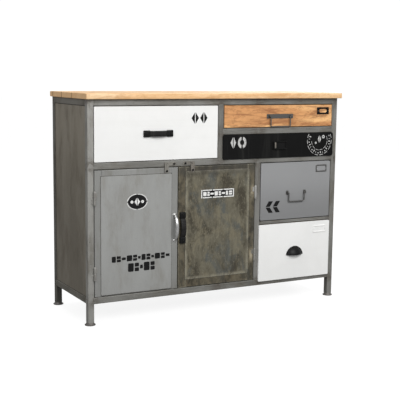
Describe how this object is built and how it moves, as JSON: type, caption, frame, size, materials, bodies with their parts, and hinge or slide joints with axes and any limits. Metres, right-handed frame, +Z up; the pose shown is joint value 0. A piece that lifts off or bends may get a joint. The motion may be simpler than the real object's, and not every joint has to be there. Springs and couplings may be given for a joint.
{
  "type": "sideboard buffet",
  "caption": "Square-tube steel sideboard with a boarded wooden top, hinged doors and mixed pressed-steel and wooden drawers on slides.",
  "frame": {"origin": "centre of the whole piece's floor area, on the floor", "axes": "+X to the viewer's right along the front, +Y from front to back, +Z up"},
  "size_m": [1.18, 0.4282, 0.898],
  "materials": {
    "frame_steel": "worn raw steel under clear lacquer, brushed and patchy",
    "sheet_steel": "darker raw steel sheet under clear lacquer",
    "foot_steel": "worn steel",
    "hinge_steel": "bare steel barrels",
    "zinc_steel": "zinc-plated",
    "latch_steel": "worn steel plate",
    "grey_door_steel": "brushed grey steel with rubbed edges",
    "rusty_steel": "blotchy brown patina, worn bright at the edges",
    "white_paint": "satin white paint",
    "black_paint": "satin black paint",
    "grey_paint": "satin grey, lightly streaked",
    "mango_wood": "oiled solid wood with visible grain",
    "box_wood": "plain sawn wood",
    "chrome": "polished",
    "black_strap": "moulded, faintly ribbed",
    "black_fitting": "black coated casting",
    "gunmetal": "dark plated steel"
  },
  "bodies": {
    "cabinet": {"front_legs": "frame_steel", "rear_legs": "frame_steel", "front_rails": "frame_steel", "rear_rails": "frame_steel", "side_rails": "frame_steel", "front_mullions": "frame_steel", "drawer_divider_rails": "frame_steel", "side_panels": "sheet_steel", "back_panels": "sheet_steel", "deck_panels": "sheet_steel", "partitions": "sheet_steel", "shelf": "sheet_steel", "welded_brackets": "sheet_steel", "foot_discs": "foot_steel", "top_boards": "mango_wood", "top_screws": "zinc_steel", "slide_channels": "zinc_steel", "hinge_frame_knuckles": "hinge_steel", "hinge_pins": "zinc_steel", "latch_keepers": "latch_steel"},
    "left_door": {"left_door_frame": "grey_door_steel", "left_door_sheet": "grey_door_steel", "left_door_knuckles": "hinge_steel", "left_bow_handle": "chrome", "left_door_fasteners": "zinc_steel"},
    "right_door": {"right_door_frame": "rusty_steel", "right_door_sheet": "rusty_steel", "right_door_knuckles": "hinge_steel", "right_door_grip": "black_strap", "right_door_grip_caps": "black_fitting", "right_door_fasteners": "zinc_steel"},
    "left_latch": {"left_latch_tab": "latch_steel"},
    "right_latch": {"right_latch_tab": "latch_steel"},
    "wide_drawer": {"wide_drawer_front": "white_paint", "wide_drawer_box": "box_wood", "wide_drawer_runners": "zinc_steel", "wide_drawer_grip": "black_strap", "wide_drawer_grip_caps": "black_fitting"},
    "wood_drawer": {"wood_drawer_front": "mango_wood", "wood_drawer_box": "box_wood", "wood_drawer_runners": "zinc_steel", "wood_label_holder": "black_paint", "wood_bail_plate": "gunmetal"},
    "wood_bail_loop": {"wood_bail": "gunmetal"},
    "black_drawer": {"black_drawer_front": "black_paint", "black_drawer_box": "box_wood", "black_drawer_runners": "zinc_steel", "black_card_pull": "black_paint"},
    "grey_drawer": {"grey_drawer_front": "grey_paint", "grey_drawer_box": "box_wood", "grey_drawer_runners": "zinc_steel", "grey_label_holder": "gunmetal", "grey_bail_eyes": "gunmetal"},
    "grey_bail_loop": {"grey_bail": "gunmetal"},
    "low_drawer": {"low_drawer_front": "white_paint", "low_drawer_box": "box_wood", "low_drawer_runners": "zinc_steel", "low_label_holder": "white_paint", "low_cup_pull": "black_fitting"}
  },
  "joints": [
    {"name": "left_door_hinge", "type": "hinge", "parent": "cabinet", "child": "left_door", "pos_m": [-0.55335, -0.18965, 0.351], "axis": [0, 0, -1], "range_deg": [0, 110]},
    {"name": "right_door_hinge", "type": "hinge", "parent": "cabinet", "child": "right_door", "pos_m": [0.16668, -0.18965, 0.3535], "axis": [0, 0, 1], "range_deg": [0, 95]},
    {"name": "left_latch_turn", "type": "hinge", "parent": "left_door", "child": "left_latch", "pos_m": [-0.247, -0.1879, 0.592], "axis": [0, -1, 0], "range_deg": [0, 90]},
    {"name": "right_latch_turn", "type": "hinge", "parent": "right_door", "child": "right_latch", "pos_m": [-0.131, -0.1879, 0.592], "axis": [0, 1, 0], "range_deg": [0, 90]},
    {"name": "wide_drawer_slide", "type": "slide", "parent": "cabinet", "child": "wide_drawer", "axis": [0, -1, 0], "range_m": [0, 0.26]},
    {"name": "wood_drawer_slide", "type": "slide", "parent": "cabinet", "child": "wood_drawer", "axis": [0, -1, 0], "range_m": [0, 0.26]},
    {"name": "black_drawer_slide", "type": "slide", "parent": "cabinet", "child": "black_drawer", "axis": [0, -1, 0], "range_m": [0, 0.26]},
    {"name": "grey_drawer_slide", "type": "slide", "parent": "cabinet", "child": "grey_drawer", "axis": [0, -1, 0], "range_m": [0, 0.26]},
    {"name": "low_drawer_slide", "type": "slide", "parent": "cabinet", "child": "low_drawer", "axis": [0, -1, 0], "range_m": [0, 0.26]},
    {"name": "wood_bail_swing", "type": "hinge", "parent": "wood_drawer", "child": "wood_bail_loop", "pos_m": [0.28365, -0.19265, 0.802], "axis": [-1, 0, 0], "range_deg": [0, 90]},
    {"name": "grey_bail_swing", "type": "hinge", "parent": "grey_drawer", "child": "grey_bail_loop", "pos_m": [0.37397, -0.19165, 0.475], "axis": [-1, 0, 0], "range_deg": [0, 90]}
  ]
}
